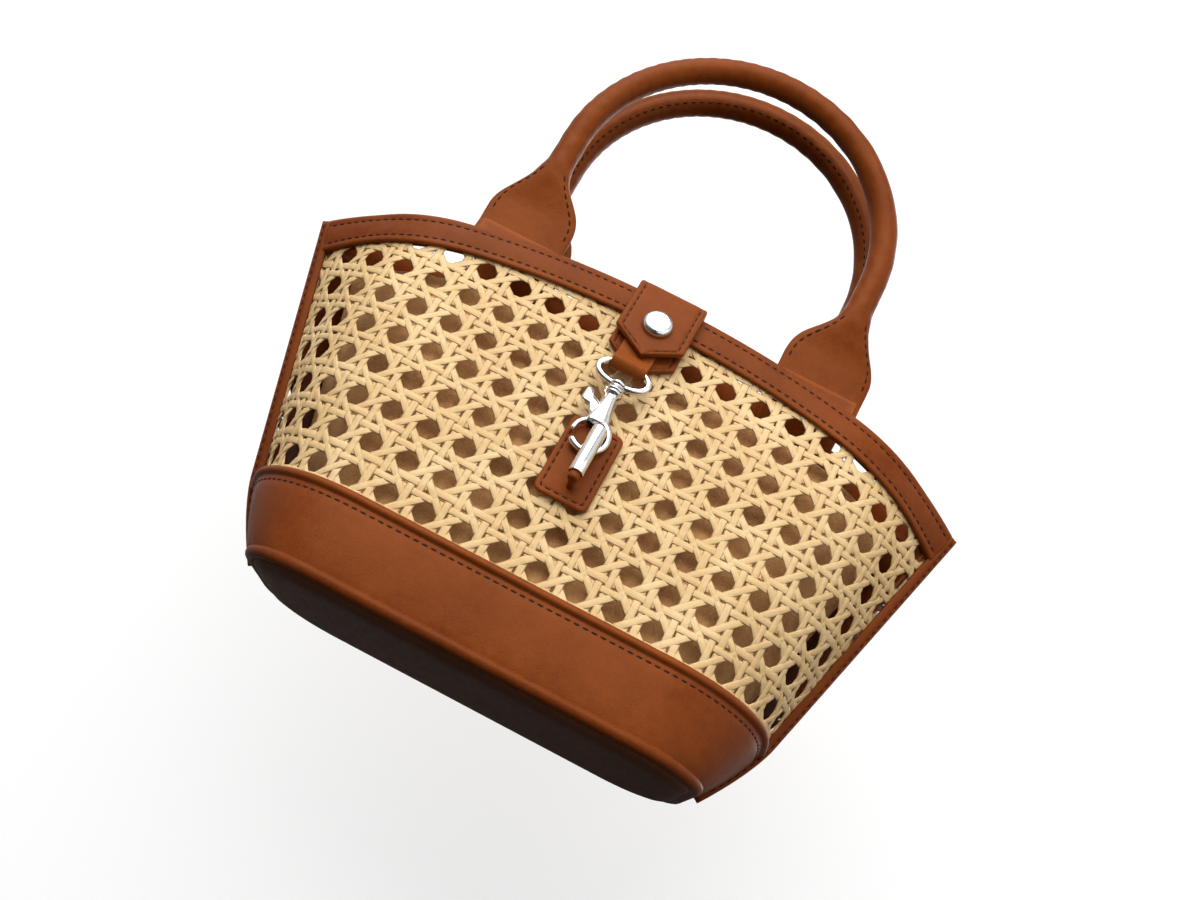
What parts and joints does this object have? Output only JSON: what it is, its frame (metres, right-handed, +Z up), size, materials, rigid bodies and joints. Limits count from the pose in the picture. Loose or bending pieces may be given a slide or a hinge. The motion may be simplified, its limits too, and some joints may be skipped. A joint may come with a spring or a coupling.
{
  "type": "basket box bag",
  "caption": "Small handbag with woven cane walls, leather bands, two rolled handles, a snap strap and a swivel clasp held in a tube catch.",
  "frame": {"origin": "middle of the underside of the padded base, on the plane the bag stands on", "axes": "+X along the bag's width towards the right-hand side seam seen from the front, front face towards -Y, +Z up"},
  "size_m": [0.2938, 0.1068, 0.2966],
  "materials": {
    "saddle_leather": "smooth, lightly grained, saddle brown",
    "cane": "natural straw, woven",
    "metal": "polished",
    "suede": "brushed, light brown",
    "board": "plain board",
    "spring_wire": "drawn wire"
  },
  "bodies": {
    "bag": {"base_panel": "saddle_leather", "base_piping": "saddle_leather", "base_board": "board", "front_cane_panel": "cane", "rear_cane_panel": "cane", "front_lower_band": "saddle_leather", "rear_lower_band": "saddle_leather", "front_rim_band": "saddle_leather", "rear_rim_band": "saddle_leather", "left_side_binding": "saddle_leather", "right_side_binding": "saddle_leather", "inner_pouch": "suede", "front_handle_root_left": "saddle_leather", "front_handle_root_right": "saddle_leather", "rear_handle_root_left": "saddle_leather", "rear_handle_root_right": "saddle_leather", "closure_strap": "saddle_leather", "under_tab": "saddle_leather", "snap_cap": "metal", "snap_socket": "metal", "snap_stud": "metal", "snap_washer": "metal", "clasp_loop": "saddle_leather", "catch_patch": "saddle_leather", "catch_cord": "saddle_leather", "catch_tube": "metal"},
    "front_handle": {"front_handle": "saddle_leather"},
    "rear_handle": {"rear_handle": "saddle_leather"},
    "eye": {"clasp_eye": "metal"},
    "hook": {"clasp_body": "metal", "clasp_pin": "metal", "clasp_spring": "spring_wire"},
    "lever": {"clasp_lever": "metal"}
  },
  "joints": [
    {"name": "front_handle_swing", "type": "hinge", "parent": "bag", "child": "front_handle", "pos_m": [0, -0.01252, 0.1722], "axis": [1, 0, 0], "range_deg": [-2, 80]},
    {"name": "rear_handle_swing", "type": "hinge", "parent": "bag", "child": "rear_handle", "pos_m": [0, 0.01252, 0.1722], "axis": [-1, 0, 0], "range_deg": [-2, 80]},
    {"name": "clasp_eye_swing", "type": "hinge", "parent": "bag", "child": "eye", "pos_m": [-0.0018, -0.03376, 0.1323], "axis": [1, 0, 0], "range_deg": [-0.8, 0.2]},
    {"name": "clasp_swivel", "type": "hinge", "parent": "eye", "child": "hook", "pos_m": [-0.0018, -0.03653, 0.11756], "axis": [0, 0.1847, 0.9828], "range_deg": [-2, 2]},
    {"name": "clasp_lever_press", "type": "hinge", "parent": "hook", "child": "lever", "pos_m": [-0.0034, -0.03808, 0.1093], "axis": [0, -0.9828, 0.1847], "range_deg": [0, 14], "stiffness_Nm_per_rad": 0.004, "springref_deg": -11.46}
  ]
}
